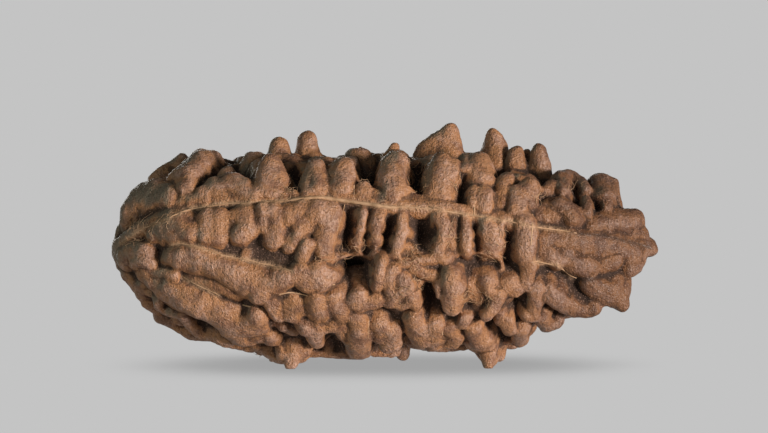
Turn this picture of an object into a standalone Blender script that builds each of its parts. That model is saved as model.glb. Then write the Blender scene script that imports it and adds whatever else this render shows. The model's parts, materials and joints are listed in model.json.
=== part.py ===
"""A rudraksha seed: a long, deeply ridged woody stone, grown as one piece.

The seed lies along X on the knobs of its underside. Its layout is written in
millimetres: x runs along the length and up is the height in the front view.
"""
import math
import random

import bmesh
import bpy
from mathutils import Matrix, Vector

MILLIMETRE = 0.001

# Driving dimensions, in millimetres.
HALF_LENGTH = 22.3            # the core's half length, pole to middle
AXIS_UP = 9.75                # height of the long axis in the layout
CORE_RADIUS = 6.7             # valley floors, at the middle
BLUNT_END = (3.0, 0.60)       # how the core closes at the broad end (-X)
SLIM_END = (2.2, 0.75)        # how it closes at the slim end (+X)
ROOT_DEPTH = 0.8              # how far a ridge's root sinks into the core
ROOT_FLARE = 1.12             # a root is this much thicker than its ridge
FRONT_ROLL = math.radians(4.5)  # the front face is turned up by this much
REST_TRIM = 0.4               # ground off the lowest knobs, where the seed rests

# How finely the surface is worked.
CORE_SEGMENTS = (64, 96)      # round the core, and along it
VOXEL = 0.34
SMOOTH_PASSES = 3
SMOOTH_STRENGTH = 0.5
FACE_BUDGET = 8200
SIDE_SEED = 108

# Ridges of the front face. Each is a lift above the valley floor and a chain of
# (x, up, radius) from one end of the ridge to the other.
UPPER_ROW = [
    (0.5, [(-22.0, 11.2, 0.5), (-21.5, 12.6, 0.6), (-20.7, 13.9, 0.6)]),
    (0.9, [(-20.5, 12.7, 0.9), (-19.2, 13.6, 1.4), (-18.0, 14.0, 1.2), (-17.3, 14.1, 0.8)]),
    (1.2, [(-19.4, 15.2, 0.7), (-18.6, 15.8, 0.6)]),
    (1.0, [(-17.1, 16.2, 0.8), (-16.5, 16.9, 0.7)]),
    (1.2, [(-16.1, 14.6, 0.8), (-15.3, 16.2, 0.9), (-14.6, 17.1, 0.8)]),
    (0.9, [(-15.3, 13.9, 1.0), (-13.6, 14.3, 1.3), (-12.0, 14.3, 1.3), (-11.0, 13.9, 0.9)]),
    (1.2, [(-9.4, 14.6, 1.3), (-9.2, 16.0, 1.2), (-9.1, 16.9, 0.8)]),
    (1.0, [(-6.3, 14.2, 0.6), (-6.3, 15.0, 0.5)]),
    (1.2, [(-5.5, 14.4, 1.0), (-5.4, 16.3, 0.9)]),
    (1.2, [(-3.5, 14.4, 1.1), (-3.3, 16.6, 1.0)]),
    (0.8, [(-1.4, 14.2, 0.9), (-1.5, 14.7, 0.7)]),
    (1.4, [(0.7, 14.3, 0.9), (0.7, 16.3, 0.8), (0.8, 17.9, 0.6)]),
    (1.2, [(3.6, 14.4, 0.9), (4.2, 16.7, 1.0)]),
    (1.3, [(5.6, 15.2, 0.7), (5.3, 16.4, 0.9)]),
    (1.3, [(7.4, 14.6, 1.1), (7.6, 16.9, 1.1)]),
    (1.5, [(8.3, 13.3, 0.6), (8.3, 14.2, 0.6)]),
    (1.6, [(9.8, 13.2, 0.8), (10.3, 15.1, 0.9)]),
    (1.7, [(11.3, 12.6, 0.8), (11.7, 14.6, 0.8)]),
    (1.5, [(13.0, 12.3, 0.9), (14.6, 12.8, 1.1), (15.3, 12.4, 0.8)]),
    (1.5, [(14.8, 14.2, 0.9), (15.3, 15.7, 0.9)]),
    (1.6, [(16.5, 12.8, 0.5), (16.6, 13.9, 0.5)]),
    (1.6, [(17.8, 13.6, 1.0), (18.3, 15.0, 1.0)]),
    (1.4, [(16.8, 11.8, 0.7), (18.6, 12.0, 0.9), (20.6, 12.5, 0.7)]),
    (0.8, [(20.2, 11.0, 0.8), (21.6, 10.6, 0.6)]),
]
FRONT_ROW = [
    (0.8, [(-18.4, 11.2, 0.9), (-16.8, 11.5, 1.1), (-15.8, 11.5, 0.9)]),
    (1.0, [(-14.3, 11.5, 1.0), (-13.5, 11.9, 1.0)]),
    (1.1, [(-11.6, 11.7, 1.0), (-11.4, 12.4, 1.0)]),
    (1.2, [(-9.3, 11.6, 0.9), (-9.2, 12.6, 1.0)]),
    (1.1, [(-7.2, 12.4, 1.2), (-5.6, 11.6, 1.4), (-4.6, 12.2, 1.1)]),
    (1.4, [(-0.6, 10.3, 0.45), (-0.6, 12.8, 0.5)]),
    (1.5, [(1.4, 10.0, 0.55), (1.4, 12.6, 0.5)]),
    (1.5, [(4.7, 10.0, 0.5), (4.7, 12.4, 0.5)]),
    (1.4, [(5.6, 10.4, 0.5), (5.6, 12.0, 0.5)]),
    (1.6, [(6.5, 9.8, 0.6), (6.5, 12.0, 0.6)]),
    (1.6, [(8.8, 10.0, 0.8), (8.9, 11.6, 0.7)]),
    (1.8, [(11.5, 9.4, 0.55), (11.5, 11.4, 0.5)]),
    (1.4, [(14.2, 9.7, 0.8), (15.3, 9.9, 0.7)]),
    (1.4, [(15.8, 8.7, 0.7), (16.8, 8.6, 0.7)]),
    (1.1, [(18.0, 9.9, 0.8), (20.0, 9.8, 0.8), (21.7, 9.6, 0.5)]),
    (1.0, [(20.3, 8.6, 0.7), (21.0, 8.9, 0.5)]),
]
LOWER_ROW = [
    (0.6, [(-21.6, 9.6, 0.6), (-20.2, 9.2, 0.9), (-19.1, 9.3, 0.8)]),
    (1.0, [(-17.2, 9.3, 0.7), (-15.5, 9.0, 1.0), (-13.5, 8.5, 1.0),
           (-11.5, 7.8, 1.1), (-9.8, 7.6, 1.1), (-8.3, 7.3, 0.9)]),
    (0.9, [(-15.3, 7.5, 0.4), (-13.8, 7.0, 0.5), (-12.3, 6.3, 0.4)]),
    (1.0, [(-20.2, 7.7, 0.7), (-18.0, 7.0, 1.1), (-15.5, 6.0, 1.2),
           (-13.0, 4.9, 1.3), (-11.0, 4.0, 1.2), (-10.2, 3.7, 0.8)]),
    (0.6, [(-21.9, 8.3, 0.4), (-20.0, 6.6, 0.5), (-18.0, 5.7, 0.5), (-17.0, 5.2, 0.4)]),
    (0.8, [(-19.2, 5.6, 0.7), (-18.3, 4.5, 0.7)]),
    (1.0, [(-9.0, 5.2, 0.8), (-7.6, 5.3, 0.8), (-6.8, 5.3, 0.7)]),
    (1.2, [(-5.3, 4.9, 0.8), (-5.1, 5.6, 0.8)]),
    (1.2, [(-3.6, 5.0, 0.8), (-3.5, 5.9, 0.7)]),
    (1.3, [(-6.5, 7.6, 1.0), (-5.0, 7.8, 1.0)]),
    (1.4, [(-0.3, 6.9, 0.4), (-0.3, 8.7, 0.4)]),
    (1.2, [(-2.0, 5.6, 0.8), (-0.6, 5.7, 0.7)]),
    (1.3, [(0.7, 7.8, 0.6), (1.4, 7.0, 0.6), (1.0, 6.0, 0.6), (1.8, 5.2, 0.6)]),
    (1.9, [(5.3, 5.2, 1.0), (5.2, 6.4, 1.0), (5.1, 7.2, 0.8)]),
    (1.2, [(6.6, 6.3, 0.5), (8.2, 6.2, 0.5)]),
    (1.5, [(9.2, 6.0, 0.7), (8.4, 4.8, 0.7)]),
    (1.8, [(10.2, 6.6, 0.8), (10.4, 6.9, 0.8)]),
    (1.7, [(11.4, 6.2, 0.5), (11.5, 8.6, 0.5)]),
    (1.8, [(12.4, 4.6, 0.6), (12.4, 6.6, 0.6)]),
    (2.0, [(13.6, 7.3, 0.7), (15.6, 5.9, 0.8), (17.2, 4.9, 0.7)]),
    (2.2, [(16.2, 7.2, 0.7), (18.2, 6.3, 0.9), (19.5, 5.4, 0.8)]),
]
UNDER_ROW = [
    (1.0, [(-16.5, 3.7, 0.9), (-14.0, 3.0, 1.0), (-12.0, 2.4, 1.1),
           (-10.0, 1.8, 1.0), (-8.4, 1.5, 0.9)]),
    (1.1, [(-10.5, 2.9, 0.8), (-9.5, 2.8, 0.8)]),
    (1.4, [(-7.5, 3.2, 0.9), (-7.2, 1.6, 0.9)]),
    (1.3, [(-5.4, 3.2, 0.6), (-5.4, 1.9, 0.6)]),
    (1.3, [(-4.0, 3.6, 0.7), (-3.7, 1.2, 0.5)]),
    (1.5, [(-2.2, 4.0, 0.8), (-2.2, 2.2, 0.8), (-2.2, 1.1, 0.6)]),
    (1.4, [(0.1, 3.2, 0.9), (0.1, 1.7, 0.8)]),
    (1.5, [(3.0, 3.6, 1.3), (3.2, 2.2, 1.0)]),
    (1.5, [(5.9, 3.6, 0.7), (5.9, 2.0, 0.7)]),
    (1.7, [(7.7, 3.2, 0.9), (8.3, 1.7, 1.0), (8.8, 0.5, 0.7)]),
    (1.9, [(10.8, 3.9, 0.9), (10.8, 2.6, 0.9)]),
    (2.0, [(14.0, 4.3, 0.6), (13.9, 3.6, 0.5)]),
]
# Cross ridges over the crest, each an x, the height of its top and its radius.
CREST_ROW = [
    (-18.7, 15.6, 0.6), (-17.2, 16.4, 0.7), (-15.2, 17.3, 0.8), (-13.4, 17.2, 0.8),
    (-11.6, 16.9, 0.8), (-10.2, 16.8, 0.6), (-8.75, 19.2, 0.75), (-6.45, 19.6, 0.95),
    (-4.4, 17.0, 0.8), (-2.7, 17.6, 0.8), (-0.7, 17.5, 0.8), (0.9, 17.9, 0.7), (2.3, 17.2, 0.6),
    (3.6, 19.2, 0.8), (5.4, 20.35, 0.9), (7.2, 17.8, 0.8), (9.05, 19.8, 0.9),
    (11.0, 18.3, 0.8), (12.9, 18.3, 0.8), (15.4, 16.5, 0.8), (18.0, 15.8, 0.8), (19.4, 13.8, 0.6),
]
CREST_FRONT, CREST_BACK = -1.6, 2.0   # the depths that a cross ridge runs between
CREST_FALL = 1.2                      # how much lower its front end is
# Knobs of the underside that reach the ground, each an x and a depth.
FEET = [(-7.6, -1.6), (8.6, -1.2), (-9.0, 3.6), (1.5, 4.0), (9.6, 3.0)]
FOOT_RADIUS = 0.8
FOOT_UP = 0.5

# The far side carries the same kind of ridges, one row between each two seams.
SECTORS = [math.radians(angle) for angle in (122, 149, 176, 203, 230, 258)]
HALF_SECTOR = math.radians(13.5)
RIDGE_PITCH = 2.2
RIDGES_FROM, RIDGES_TO = -13.5, 16.5
# At the broad end each row runs out as a long lobe with a thin rib beside it.
POLE_LOBE = [(-21.5, 0.4, 0.4), (-20.2, 0.8, 0.6), (-18.0, 1.1, 0.8), (-14.8, 1.2, 1.0)]
POLE_RIB = [(-21.4, 0.5, 0.3), (-19.5, 0.6, 0.35), (-16.0, 0.7, 0.4)]
# At the slim end it closes with one knob, drawn out from a place beside the row.
SLIM_KNOB = [(17.4, 1.4, 0.8), (19.6, 1.4, 0.6)]
SLIM_KNOB_TURN = 0.1
# A far ridge rises from a low end to a tip across its row. Turns are in radians
# off the middle of the row, lifts are over the valley floor.
LOW_TURN, TIP_TURN = 0.16, 0.13
LOW_LIFT, TIP_LIFT = (0.6, 1.4), (1.6, 3.0)
LOW_RADIUS, TIP_RADIUS = (0.7, 1.0), (0.6, 0.95)
TIP_SHIFT = (-0.3, 0.6)
PITCH_SHARE = (0.85, 1.2)


def core_radius(x):
    """How far the valley floor lies from the long axis, at a place along it."""
    power, fullness = BLUNT_END if x < 0 else SLIM_END
    along = min(abs(x) / HALF_LENGTH, 1.0)
    return CORE_RADIUS * (1.0 - along ** power) ** fullness


def front_spot(x, up, lift):
    """The place on the front face seen at x and up, at a lift above the floor."""
    reach = core_radius(x) + lift
    rise = up - AXIS_UP
    depth = math.sqrt(max(reach ** 2 - rise ** 2, 0.0))
    return Vector((x, -depth, up))


def side_spot(x, angle, lift):
    """A place round the axis: 0 faces the front, a quarter turn is the top."""
    reach = core_radius(x) + lift
    return Vector((x, -reach * math.cos(angle), AXIS_UP + reach * math.sin(angle)))


def toward_axis(place):
    """The point of the core straight below a place on the surface."""
    outward = Vector((0.0, place.y, place.z - AXIS_UP))
    sunk = max(core_radius(place.x) - ROOT_DEPTH, 0.2)
    return Vector((place.x, 0.0, AXIS_UP)) + outward.normalized() * sunk


def add_capsule(form, start, start_radius, end, end_radius):
    """A round-ended peg between two points, with its own radius at each end."""
    ball = bmesh.ops.create_icosphere(form, subdivisions=3, radius=1.0)["verts"]
    along = (end - start).normalized()
    for vert in ball:
        if vert.co.dot(along) > 0.0:
            vert.co = end + vert.co * end_radius
        else:
            vert.co = start + vert.co * start_radius


def add_ridge(form, places):
    """A ridge through the places, each a point and a radius, rooted in the core."""
    ridge = bmesh.new()
    for place, radius in places:
        add_capsule(ridge, toward_axis(place), radius * ROOT_FLARE, place, radius)
    for (start, start_radius), (end, end_radius) in zip(places, places[1:]):
        add_capsule(ridge, start, start_radius, end, end_radius)
    loose = bpy.data.meshes.new("ridge")
    ridge.to_mesh(loose)
    ridge.free()
    form.from_mesh(loose)
    bpy.data.meshes.remove(loose)


def add_core(form):
    """The closed body under the ridges, a sphere drawn out to the core's profile."""
    around_count, along_count = CORE_SEGMENTS
    ball = bmesh.ops.create_uvsphere(form, u_segments=around_count, v_segments=along_count,
                                     radius=1.0)["verts"]
    for vert in ball:
        x = vert.co.z * HALF_LENGTH
        around = math.atan2(vert.co.y, vert.co.x)
        reach = core_radius(x)
        vert.co = (x, reach * math.cos(around), AXIS_UP + reach * math.sin(around))


def add_front(form):
    """The ridges of the front face and the knobs along the crest."""
    for row in (UPPER_ROW, FRONT_ROW, LOWER_ROW, UNDER_ROW):
        for lift, chain in row:
            add_ridge(form, [(front_spot(x, up, lift), radius) for x, up, radius in chain])
    for x, top, radius in CREST_ROW:
        front = Vector((x, CREST_FRONT, top - CREST_FALL - radius))
        back = Vector((x, CREST_BACK, top - radius))
        add_ridge(form, [(front, radius), (back, radius)])


def add_far_side(form, dice):
    """Rows of cross ridges between the seams, and long lobes towards the poles."""
    for sector in SECTORS:
        lean = dice.choice((-1, 1))
        x = RIDGES_FROM + dice.uniform(0.0, RIDGE_PITCH)
        while x < RIDGES_TO:
            low = side_spot(x, sector - lean * LOW_TURN, dice.uniform(*LOW_LIFT))
            tip_x = x + dice.uniform(*TIP_SHIFT)
            tip = side_spot(tip_x, sector + lean * TIP_TURN, dice.uniform(*TIP_LIFT))
            add_ridge(form, [(low, dice.uniform(*LOW_RADIUS)), (tip, dice.uniform(*TIP_RADIUS))])
            x += RIDGE_PITCH * dice.uniform(*PITCH_SHARE)
        add_ridge(form, [(side_spot(x, sector, lift), radius) for x, lift, radius in POLE_LOBE])
        add_ridge(form, [(side_spot(x, sector + HALF_SECTOR, lift), radius)
                         for x, lift, radius in POLE_RIB])
        turns = (-lean * SLIM_KNOB_TURN, 0.0)
        add_ridge(form, [(side_spot(x, sector + turn, lift), radius)
                         for turn, (x, lift, radius) in zip(turns, SLIM_KNOB)])


def add_feet(form):
    """Knobs on the underside that carry the seed."""
    for x, depth in FEET:
        up = FOOT_UP + depth * math.tan(FRONT_ROLL)
        add_ridge(form, [(Vector((x, depth, up)), FOOT_RADIUS)])


def fuse(form):
    """Grow the overlapping ridges into one skin and smooth it."""
    mesh = bpy.data.meshes.new("rudraksha_seed")
    form.to_mesh(mesh)
    form.free()
    seed = bpy.data.objects.new("rudraksha_seed", mesh)
    bpy.context.scene.collection.objects.link(seed)
    skin = seed.modifiers.new("skin", "REMESH")
    skin.mode = "VOXEL"
    skin.voxel_size = VOXEL
    worn = seed.modifiers.new("worn", "SMOOTH")
    worn.factor = SMOOTH_STRENGTH
    worn.iterations = SMOOTH_PASSES
    return seed


def bake(seed):
    """Replace the object's mesh with its evaluated one, without modifiers."""
    graph = bpy.context.evaluated_depsgraph_get()
    solid = bpy.data.meshes.new_from_object(seed.evaluated_get(graph))
    seed.modifiers.clear()
    seed.data = solid
    solid.name = seed.name


def keep_outer_skin(form):
    """Remove any closed pocket, so that only the outermost shell is left."""
    unseen = set(form.verts)
    shells = []
    while unseen:
        shell = set()
        edge_of_search = [next(iter(unseen))]
        while edge_of_search:
            vert = edge_of_search.pop()
            if vert in shell:
                continue
            shell.add(vert)
            edge_of_search.extend(edge.other_vert(vert) for edge in vert.link_edges)
        unseen -= shell
        shells.append(shell)
    outer = max(shells, key=len)
    spare = [vert for vert in form.verts if vert not in outer]
    bmesh.ops.delete(form, geom=spare, context="VERTS")


def reduce_faces(seed):
    """Thin the skin to the face budget, keeping its sharpest shapes."""
    thin = seed.modifiers.new("thin", "DECIMATE")
    thin.ratio = min(1.0, FACE_BUDGET / sum(len(face.vertices) - 2 for face in seed.data.polygons))
    bake(seed)


def set_down(seed):
    """Roll the seed, grind its lowest knobs flat, and stand it on the ground in metres."""
    form = bmesh.new()
    form.from_mesh(seed.data)
    keep_outer_skin(form)
    axis_centre = Vector((0.0, 0.0, AXIS_UP))
    bmesh.ops.rotate(form, cent=axis_centre, matrix=Matrix.Rotation(-FRONT_ROLL, 3, "X"),
                     verts=form.verts)
    ground = min(vert.co.z for vert in form.verts) + REST_TRIM
    cut = bmesh.ops.bisect_plane(form, geom=form.verts[:] + form.edges[:] + form.faces[:],
                                 dist=0.0001, plane_co=(0.0, 0.0, ground), plane_no=(0.0, 0.0, -1.0),
                                 clear_outer=True)
    rims = [item for item in cut["geom_cut"] if isinstance(item, bmesh.types.BMEdge)]
    bmesh.ops.holes_fill(form, edges=rims, sides=0)
    bmesh.ops.triangulate(form, faces=form.faces[:])
    middle = [(min(side) + max(side)) / 2 for side in zip(*(vert.co for vert in form.verts))]
    bmesh.ops.translate(form, vec=(-middle[0], -middle[1], -ground), verts=form.verts)
    bmesh.ops.scale(form, vec=(MILLIMETRE,) * 3, verts=form.verts)
    bmesh.ops.recalc_face_normals(form, faces=form.faces)
    form.to_mesh(seed.data)
    form.free()
    seed.data.shade_smooth()


def seed_material():
    """Dry, reddish-brown wood with a dull satin face."""
    wood = bpy.data.materials.new("seed_wood")
    wood.use_nodes = True
    shader = wood.node_tree.nodes["Principled BSDF"]
    shader.inputs["Base Color"].default_value = (0.36, 0.17, 0.085, 1.0)
    shader.inputs["Roughness"].default_value = 0.55
    shader.inputs["Metallic"].default_value = 0.0
    return wood


def build():
    for leftover in list(bpy.data.objects):
        bpy.data.objects.remove(leftover, do_unlink=True)
    form = bmesh.new()
    add_core(form)
    add_front(form)
    add_far_side(form, random.Random(SIDE_SEED))
    add_feet(form)
    seed = fuse(form)
    bake(seed)
    reduce_faces(seed)
    set_down(seed)
    seed.data.materials.append(seed_material())


build()
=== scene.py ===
"""A rudraksha seed lying on a pale studio floor.

The woody stone is grown from a core and several hundred ridges, fused into one
skin, then given its lumps, grain and cracks. Its layout is in millimetres: x
runs along the seed and up is the height in the front view.
"""
import json
import math
import random
from itertools import product

import bmesh
import bpy
import numpy as np
from mathutils import Matrix, Vector
from mathutils.bvhtree import BVHTree

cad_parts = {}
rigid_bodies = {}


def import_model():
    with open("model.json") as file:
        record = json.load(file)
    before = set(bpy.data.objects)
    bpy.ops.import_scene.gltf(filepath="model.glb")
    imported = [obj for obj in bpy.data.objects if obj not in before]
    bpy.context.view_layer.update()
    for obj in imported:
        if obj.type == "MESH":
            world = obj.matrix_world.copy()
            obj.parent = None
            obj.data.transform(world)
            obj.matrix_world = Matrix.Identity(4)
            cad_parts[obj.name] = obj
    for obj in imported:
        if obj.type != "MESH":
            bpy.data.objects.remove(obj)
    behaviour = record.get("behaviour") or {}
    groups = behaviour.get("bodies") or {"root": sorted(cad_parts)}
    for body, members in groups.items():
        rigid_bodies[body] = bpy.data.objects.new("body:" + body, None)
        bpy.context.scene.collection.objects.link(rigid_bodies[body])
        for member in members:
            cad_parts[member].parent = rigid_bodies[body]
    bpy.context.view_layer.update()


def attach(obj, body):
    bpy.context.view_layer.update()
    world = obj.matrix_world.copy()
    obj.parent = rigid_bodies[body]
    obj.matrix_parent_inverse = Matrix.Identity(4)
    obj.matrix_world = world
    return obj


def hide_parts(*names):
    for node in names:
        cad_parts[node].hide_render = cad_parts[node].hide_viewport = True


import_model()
scene = bpy.context.scene
objects = scene.collection.objects

# ----
# The stone's shape. A rudraksha stone is one hard, dry shell, drawn out long,
# with seams from pole to pole and rows of knobbly cross ridges between them.
MILLIMETRE = 0.001
HALF_LENGTH = 22.1  # the core's half length, pole to middle
AXIS_UP = 9.75  # height of the long axis in the layout
CORE_RADIUS = 6.7  # valley floors, at the middle
BLUNT_END = (3.4, 0.55)  # how the core closes at the broad end (-X)
SLIM_END = (2.2, 0.75)  # how it closes at the slim end (+X)
CORE_SEGMENTS = (240, 360)  # round the core, and along it
ROOT_DEPTH = 0.8  # how far a ridge's root sinks into the core
ROOT_FLARE = 1.15  # a root is this much thicker than its ridge
ROOT_SPREAD = 0.55  # and, in the middle of the seed, this much wider still
THIN_ROOT = 0.2  # the least distance of a root from the axis
SPREAD = 1.38  # a front ridge is this much broader than it is high
FRONT_ROLL = math.radians(4.5)  # the front face is turned up by this much
# Where the middle of the layout sits over the middle of the frame's footprint.
SEAT = Vector((0.148, -0.787, -0.105))

# A ridge is its height above the valley floor at its first and last place, then a
# chain of places along it, each (x, up, radius).
UPPER_ROW = [
    (1.0, 1.0, [(-21.8, 10.6, 0.35), (-21.6, 11.6, 0.35), (-20.9, 13.0, 0.35), (-20.4, 13.9, 0.35)]),
    (1.6, 2.2, [(-21.0, 12.2, 0.45), (-20.2, 13.1, 1.0), (-19.2, 13.7, 1.25), (-18.3, 13.9, 1.25),
        (-17.5, 13.9, 0.95)]),
    (1.8, 2.0, [(-19.9, 13.8, 0.6), (-19.3, 14.25, 0.65), (-18.3, 14.5, 0.7)]),
    (1.7, 1.9, [(-16.9, 13.3, 0.35), (-16.3, 13.9, 0.4)]),
    (2.2, 2.6, [(-16.2, 14.7, 0.65), (-16.1, 15.6, 0.95), (-15.5, 16.5, 0.95), (-14.9, 17.1, 0.85)]),
    (2.0, 2.2, [(-17.0, 15.4, 0.5), (-16.4, 16.3, 0.5)]),
    (2.2, 2.3, [(-14.9, 17.2, 0.8), (-14.2, 17.3, 0.65)]),
    (1.9, 2.2, [(-15.6, 13.7, 0.45), (-14.6, 14.0, 0.75), (-13.4, 14.4, 1.1), (-12.3, 14.6, 1.2),
        (-11.3, 14.4, 1.05), (-10.6, 14.2, 0.75)]),
    (1.8, 1.9, [(-14.5, 13.9, 0.6), (-13.0, 14.0, 0.8), (-11.4, 14.0, 0.7)]),
    (1.0, 1.4, [(-12.9, 15.7, 0.5), (-12.7, 16.2, 0.45)]),
    (2.3, 2.7, [(-9.3, 14.7, 1.15), (-9.15, 15.7, 1.1), (-9.15, 16.5, 0.85), (-9.2, 17.1, 0.55)]),
    (1.9, 2.1, [(-10.3, 14.8, 0.4), (-10.0, 15.4, 0.5), (-9.8, 16.1, 0.45)]),
    (1.8, 1.8, [(-7.9, 14.4, 0.4), (-7.5, 14.5, 0.35)]),
    (1.9, 2.0, [(-6.3, 14.4, 0.35), (-6.2, 15.2, 0.35)]),
    (2.2, 2.5, [(-5.6, 14.8, 0.75), (-5.5, 15.7, 0.8), (-5.5, 16.5, 0.55)]),
    (2.0, 2.1, [(-4.9, 14.8, 0.5), (-4.8, 15.7, 0.4)]),
    (2.2, 2.6, [(-3.5, 14.8, 0.95), (-3.4, 15.8, 0.95), (-3.25, 16.7, 0.65)]),
    (2.0, 2.1, [(-4.2, 15.3, 0.5), (-3.9, 16.4, 0.5)]),
    (1.9, 1.9, [(-1.6, 14.3, 0.65), (-1.6, 14.9, 0.4)]),
    (1.7, 1.7, [(-0.9, 14.2, 0.5), (-0.2, 14.2, 0.4)]),
    (2.2, 2.5, [(0.8, 14.5, 0.75), (0.8, 15.6, 0.8), (0.9, 16.7, 0.75), (1.1, 17.1, 0.6)]),
    (1.9, 2.0, [(0.2, 15.2, 0.4), (0.2, 16.2, 0.4)]),
    (1.6, 1.7, [(1.6, 14.0, 0.4), (1.9, 14.6, 0.35)]),
    (1.5, 1.5, [(2.6, 13.8, 0.4), (4.6, 13.7, 0.45)]),
    (2.1, 2.6, [(4.5, 14.5, 0.9), (4.6, 15.4, 0.9), (4.6, 16.4, 0.8), (4.6, 17.1, 0.55)]),
    (2.2, 2.3, [(5.4, 15.7, 0.5), (5.5, 16.5, 0.65)]),
    (2.2, 2.6, [(7.9, 15.4, 0.95), (7.7, 16.3, 0.95), (7.8, 17.2, 0.6)]),
    (2.2, 2.3, [(6.9, 16.2, 0.6), (7.0, 17.1, 0.65)]),
    (1.9, 2.0, [(7.3, 13.6, 0.35), (7.3, 14.5, 0.35)]),
    (2.1, 2.2, [(8.25, 13.4, 0.55), (8.2, 14.2, 0.6)]),
    (1.6, 1.9, [(9.5, 13.4, 0.5), (9.7, 14.4, 0.5), (10.2, 15.4, 0.5)]),
    (2.2, 2.4, [(11.2, 13.0, 0.65), (11.4, 14.1, 0.65), (11.7, 14.8, 0.55)]),
    (2.1, 2.2, [(10.7, 13.0, 0.45), (10.9, 14.4, 0.45)]),
    (2.2, 2.3, [(12.1, 13.4, 0.4), (12.1, 14.7, 0.45)]),
    (2.0, 2.3, [(12.8, 12.5, 0.75), (13.6, 12.7, 1.0), (14.4, 12.9, 1.0), (15.2, 12.4, 0.85)]),
    (2.7, 2.6, [(14.3, 13.5, 0.45), (14.8, 13.1, 0.5), (15.3, 12.4, 0.5)]),
    (1.9, 2.0, [(13.1, 14.5, 0.4), (13.7, 15.2, 0.35)]),
    (2.3, 2.3, [(14.6, 14.7, 0.5), (14.5, 15.7, 0.6), (15.3, 16.0, 0.6), (16.0, 15.5, 0.5),
        (16.5, 14.9, 0.4)]),
    (2.4, 2.4, [(16.5, 13.0, 0.45), (16.5, 13.9, 0.4)]),
    (2.4, 2.8, [(18.3, 13.4, 0.35), (17.9, 14.2, 0.7), (17.8, 15.1, 0.9)]),
    (2.6, 2.8, [(18.4, 14.2, 0.5), (18.8, 15.1, 0.5)]),
    (2.0, 2.2, [(16.9, 11.9, 0.7), (18.1, 12.0, 1.0), (19.3, 12.1, 1.0), (20.1, 12.2, 0.9),
        (20.6, 12.5, 0.65)]),
    (1.7, 1.3, [(20.3, 11.2, 0.7), (21.2, 11.0, 0.6), (21.5, 10.7, 0.4)]),
]
FRONT_ROW = [
    (1.8, 2.2, [(-18.7, 11.1, 0.47), (-17.8, 11.4, 0.8), (-16.8, 11.6, 1.15), (-16.0, 11.7, 1.1),
        (-15.7, 11.3, 0.75)]),
    (2.2, 2.1, [(-14.2, 12.3, 0.75), (-14.1, 11.2, 0.8)]),
    (2.2, 2.1, [(-13.3, 12.3, 0.75), (-13.3, 11.1, 0.75)]),
    (1.9, 2.1, [(-12.1, 12.4, 0.6), (-11.3, 12.4, 0.8), (-11.1, 11.4, 0.7), (-11.6, 11.0, 0.62)]),
    (2.2, 2.0, [(-9.6, 12.7, 0.6), (-9.9, 11.5, 0.52)]),
    (2.2, 1.9, [(-8.7, 12.9, 0.62), (-8.5, 11.9, 0.52), (-8.9, 11.0, 0.62), (-9.3, 10.6, 0.57)]),
    (2.2, 2.2, [(-7.4, 12.7, 0.8), (-6.7, 12.9, 0.85)]),
    (2.1, 1.8, [(-6.4, 12.0, 0.6), (-7.0, 11.1, 0.57), (-7.6, 10.4, 0.52)]),
    (2.3, 1.8, [(-5.4, 12.7, 0.9), (-4.6, 12.6, 0.8), (-4.6, 11.8, 0.75), (-4.8, 10.7, 0.75),
        (-4.8, 9.8, 0.6)]),
    (2.1, 2.0, [(-6.2, 10.3, 0.42), (-6.5, 9.4, 0.47)]),
    (1.6, 1.2, [(-1.9, 12.6, 0.3), (-1.9, 11.3, 0.25), (-2.1, 10.4, 0.3)]),
    (1.7, 1.5, [(-0.6, 12.8, 0.4), (-0.7, 11.8, 0.35), (-0.7, 10.5, 0.3)]),
    (1.8, 1.5, [(1.5, 12.7, 0.4), (1.45, 11.5, 0.4), (1.1, 10.4, 0.35), (1.0, 9.3, 0.3)]),
    (1.7, 1.5, [(4.3, 12.5, 0.35), (4.75, 11.6, 0.35), (4.6, 10.6, 0.4), (4.3, 9.6, 0.43)]),
    (1.3, 1.2, [(5.5, 12.3, 0.4), (5.5, 10.4, 0.4)]),
    (1.8, 1.6, [(6.6, 12.3, 0.4), (6.6, 11.2, 0.35), (6.6, 10.2, 0.3), (6.7, 9.5, 0.25)]),
    (1.9, 1.8, [(8.3, 12.1, 0.38), (8.6, 11.3, 0.7), (8.7, 10.4, 0.65)]),
    (1.8, 1.6, [(9.6, 12.1, 0.25), (9.4, 11.2, 0.2), (9.2, 10.3, 0.2)]),
    (2.3, 2.1, [(11.5, 12.0, 0.62), (11.6, 11.0, 0.62), (11.5, 10.0, 0.57), (11.4, 9.0, 0.57),
        (11.6, 8.2, 0.52), (11.5, 6.8, 0.47)]),
    (1.8, 1.9, [(12.9, 10.4, 0.8), (13.9, 10.3, 1.1), (15.0, 10.4, 1.1)]),
    (2.0, 1.9, [(16.0, 10.2, 1.1), (17.3, 10.1, 1.0), (18.4, 10.1, 0.8)]),
    (1.8, 1.75, [(13.0, 9.6, 0.6), (15.0, 9.5, 0.7), (17.2, 9.4, 0.7), (18.8, 9.4, 0.5)]),
    (1.9, 2.0, [(13.4, 9.2, 0.52), (14.1, 8.8, 0.47), (15.0, 9.2, 0.57)]),
    (2.1, 2.1, [(15.5, 8.6, 0.6), (16.3, 8.5, 0.75), (17.0, 8.3, 0.6)]),
    (2.0, 2.0, [(18.0, 8.6, 0.6), (18.7, 8.8, 0.55)]),
    (1.8, 1.1, [(19.2, 9.8, 0.8), (20.2, 9.6, 0.8), (21.0, 9.5, 0.6), (21.5, 9.6, 0.4)]),
    (1.8, 1.2, [(20.0, 8.4, 0.62), (20.6, 8.6, 0.55), (21.0, 8.9, 0.47)]),
]
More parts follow.
